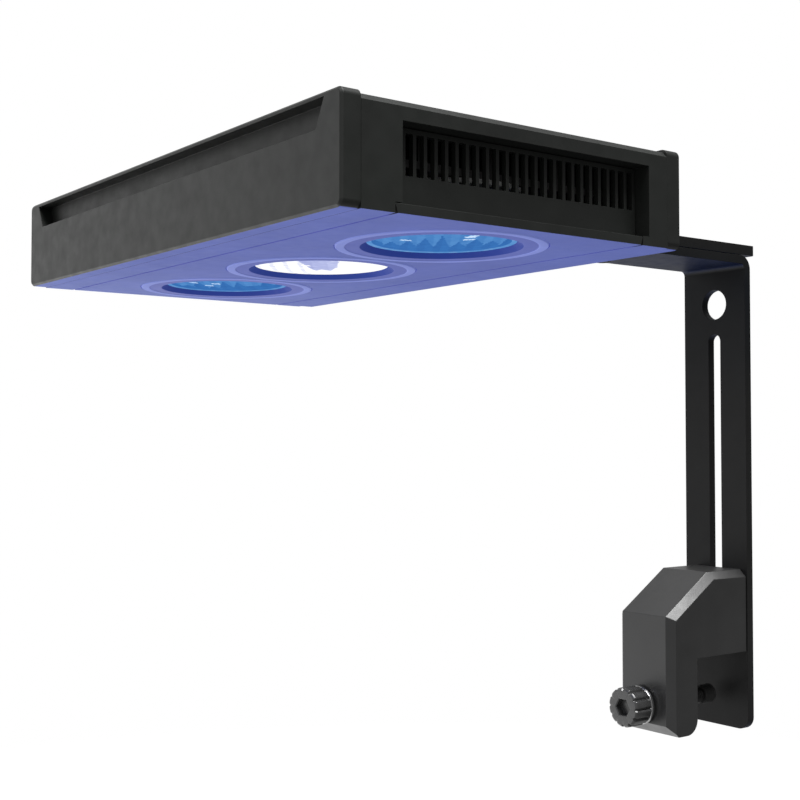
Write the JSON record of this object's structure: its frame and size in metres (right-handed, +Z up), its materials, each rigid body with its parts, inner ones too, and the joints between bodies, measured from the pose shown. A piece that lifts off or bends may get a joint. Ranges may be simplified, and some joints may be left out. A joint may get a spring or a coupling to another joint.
{
  "type": "clip-on aquarium light",
  "caption": "Flat black lamp head with round lens clusters, held over a tank by a slotted bent arm and a screw clamp.",
  "frame": {"origin": "middle of the clamp face that sits on the tank's rim", "axes": "+X out of the tank, so the head hangs towards -X; +Y along the head's long side; +Z up"},
  "size_m": [0.3193, 0.24, 0.2415],
  "materials": {
    "coated_aluminium": "fine matt black powder coat",
    "bare_aluminium": "plain extruded",
    "lens_plate_plastic": "satin, lit blue-violet by the lamp",
    "trim_plastic": "satin moulding",
    "blue_lens": "clear, lit blue",
    "white_lens": "clear, lit white",
    "mirror_reflector": "polished facets",
    "led_board": "white solder mask with emitters",
    "circuit_board": "green solder mask",
    "inner_plastic": "black moulding",
    "knob_plastic": "glossy black moulding",
    "black_steel": "black oxide",
    "pad_rubber": "soft black"
  },
  "bodies": {
    "clamp": {"clamp_body": "coated_aluminium", "guide_key": "inner_plastic", "lock_stud": "black_steel"},
    "head_and_arm": {"housing_shell": "coated_aluminium", "front_end_plate": "coated_aluminium", "rear_end_plate": "coated_aluminium", "vent_panel_right": "coated_aluminium", "vent_panel_left": "coated_aluminium", "lens_plate": "lens_plate_plastic", "heat_sink": "bare_aluminium", "driver_board": "circuit_board", "power_inlet": "inner_plastic", "trim_ring_1": "trim_plastic", "cover_lens_1": "blue_lens", "reflector_1": "mirror_reflector", "led_board_1": "led_board", "trim_ring_2": "trim_plastic", "cover_lens_2": "white_lens", "reflector_2": "mirror_reflector", "led_board_2": "led_board", "trim_ring_3": "trim_plastic", "cover_lens_3": "blue_lens", "reflector_3": "mirror_reflector", "led_board_3": "led_board", "fan_frame": "inner_plastic", "mounting_block": "coated_aluminium", "extension_arm": "coated_aluminium", "drop_arm": "coated_aluminium", "block_screw_1": "black_steel", "block_screw_2": "black_steel", "block_screw_3": "black_steel", "block_screw_4": "black_steel", "arm_screw_1": "black_steel", "arm_screw_2": "black_steel", "arm_screw_3": "black_steel", "arm_screw_4": "black_steel", "arm_nut_1": "black_steel", "arm_nut_2": "black_steel"},
    "fan": {"fan_impeller": "inner_plastic"},
    "pad": {"swivel_pad": "pad_rubber"},
    "screw": {"clamp_screw": "black_steel", "screw_knob": "knob_plastic"},
    "washer": {"lock_washer": "black_steel"},
    "lock": {"lock_knob": "knob_plastic"}
  },
  "joints": [
    {"name": "height_slide", "type": "slide", "parent": "clamp", "child": "head_and_arm", "axis": [0, 0, 1], "range_m": [-0.115, 0.005]},
    {"name": "fan_spin", "type": "hinge", "parent": "head_and_arm", "child": "fan", "pos_m": [-0.216, 0, 0.19], "axis": [0, 0, 1], "continuous": true},
    {"name": "pad_slide", "type": "slide", "parent": "clamp", "child": "pad", "axis": [1, 0, 0], "range_m": [-0.0194, 0.0006]},
    {"name": "clamp_screw_spin", "type": "hinge", "parent": "pad", "child": "screw", "pos_m": [0, 0, -0.022], "axis": [1, 0, 0], "range_deg": [-5760, 220]},
    {"name": "washer_slide", "type": "slide", "parent": "clamp", "child": "washer", "axis": [1, 0, 0], "range_m": [0, 0.002]},
    {"name": "lock_knob_spin", "type": "hinge", "parent": "washer", "child": "lock", "pos_m": [0.03, 0, 0.012], "axis": [1, 0, 0], "range_deg": [-30, 780]}
  ],
  "couplings": [
    {"joint": "clamp_screw_spin", "follows": "pad_slide", "rad_per_m": 5026.5},
    {"joint": "lock_knob_spin", "follows": "washer_slide", "rad_per_m": 6283.2}
  ]
}
